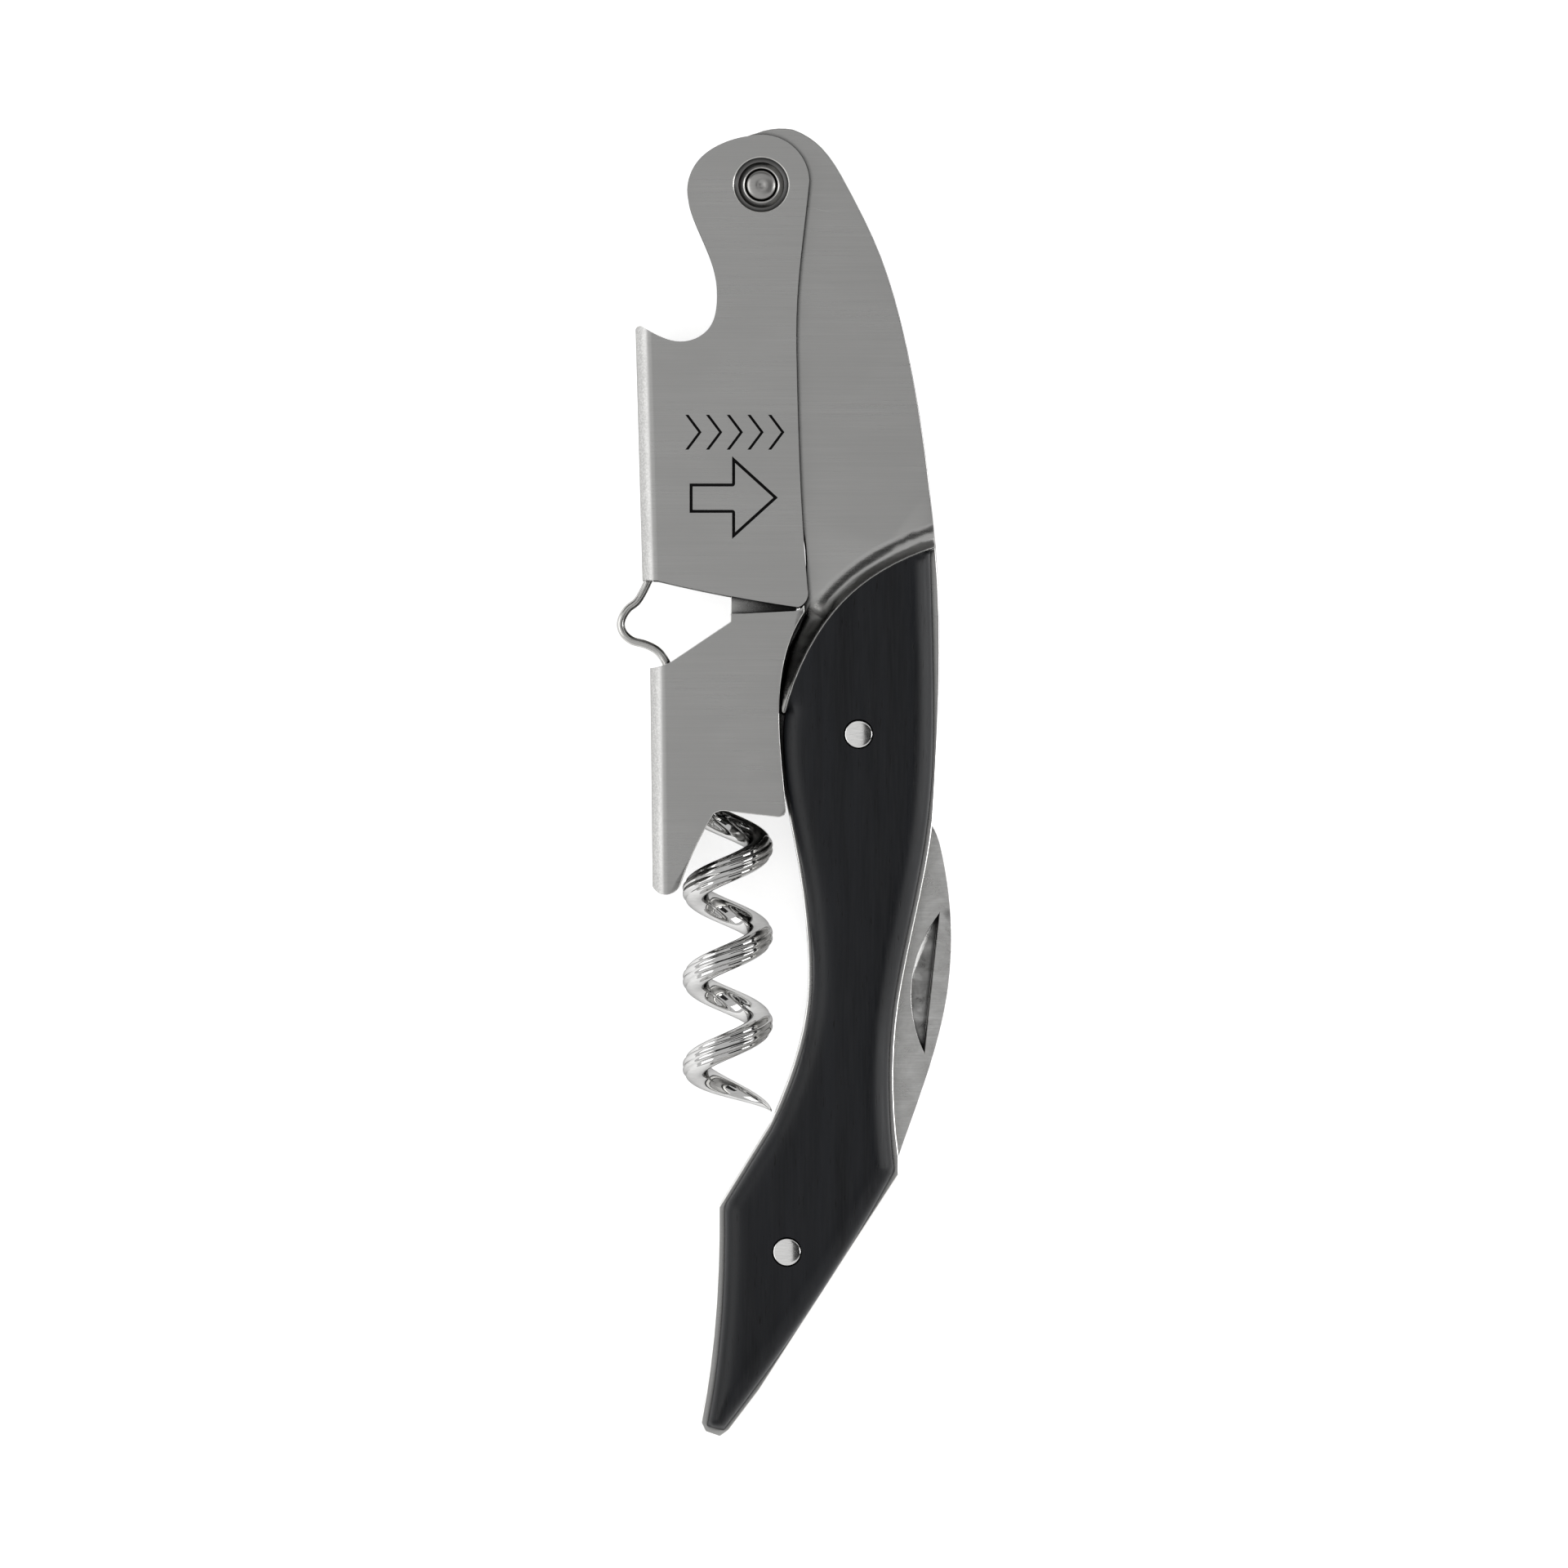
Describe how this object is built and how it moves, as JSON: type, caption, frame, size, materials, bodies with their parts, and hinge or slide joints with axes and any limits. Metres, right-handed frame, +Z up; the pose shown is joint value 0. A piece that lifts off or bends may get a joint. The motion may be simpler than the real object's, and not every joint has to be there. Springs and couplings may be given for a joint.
{
  "type": "waiters corkscrew",
  "caption": "Folding double-lever waiter's corkscrew with a fluted worm, a cap-lifter notch, a sprung two-step foot, a foil knife and black wood scales.",
  "frame": {"origin": "on the axis of the upper scale pin, in the outer face of the rear scale, on which the folded object lies", "axes": "+Y along the handle from the tail to the lever pivot, +Z up through the thickness from the rear scale to the front scale, +X towards the back of the handle, away from the lever"},
  "size_m": [0.0309, 0.1201, 0.0126],
  "materials": {
    "brushed_steel": "satin, brushed across the width",
    "polished_steel": "polished pins and bushes",
    "worm_steel": "bright polished wire",
    "blade_steel": "satin blade steel",
    "spring_steel": "drawn spring wire",
    "black_wood": "oiled black wood, fine grain along the handle"
  },
  "bodies": {
    "handle": {"front_liner": "brushed_steel", "rear_liner": "brushed_steel", "bolster_spacer": "brushed_steel", "knife_spring": "brushed_steel", "tail_spacer": "brushed_steel", "front_scale": "black_wood", "rear_scale": "black_wood", "upper_scale_pin": "polished_steel", "upper_spacer_tube": "polished_steel", "frame_pins": "polished_steel", "worm_pin": "polished_steel", "worm_washers": "polished_steel", "lever_pin": "polished_steel", "knife_pin": "polished_steel", "knife_washers": "polished_steel"},
    "lever": {"upper_lever": "brushed_steel", "lever_bush_front": "polished_steel", "lever_bush_rear": "polished_steel", "link_pin": "brushed_steel", "step_spring": "spring_steel"},
    "foot": {"lower_lever": "brushed_steel", "link_sleeve": "polished_steel"},
    "worm": {"worm": "worm_steel"},
    "knife": {"knife_blade": "blade_steel"}
  },
  "joints": [
    {"name": "lever_swing", "type": "hinge", "parent": "handle", "child": "lever", "pos_m": [-0.00893, 0.0504, 0.0063], "axis": [0, 0, -1], "range_deg": [0, 180]},
    {"name": "step_flex", "type": "hinge", "parent": "lever", "child": "foot", "pos_m": [-0.0072, 0.0146, 0.0063], "axis": [0, 0, -1], "range_deg": [0, 20], "stiffness_Nm_per_rad": 0.05, "springref_deg": -5.73, "deforming": ["step_spring"]},
    {"name": "worm_fold", "type": "hinge", "parent": "handle", "child": "worm", "pos_m": [-0.00382, 0.00522, 0.0063], "axis": [0, 0, -1], "range_deg": [0, 90]},
    {"name": "knife_fold", "type": "hinge", "parent": "handle", "child": "knife", "pos_m": [-0.00657, -0.04748, 0.0063], "axis": [0, 0, -1], "range_deg": [0, 155]}
  ],
  "couplings": [
    {"joint": "worm_fold", "follows": "lever_swing", "ratio": 0.5}
  ]
}
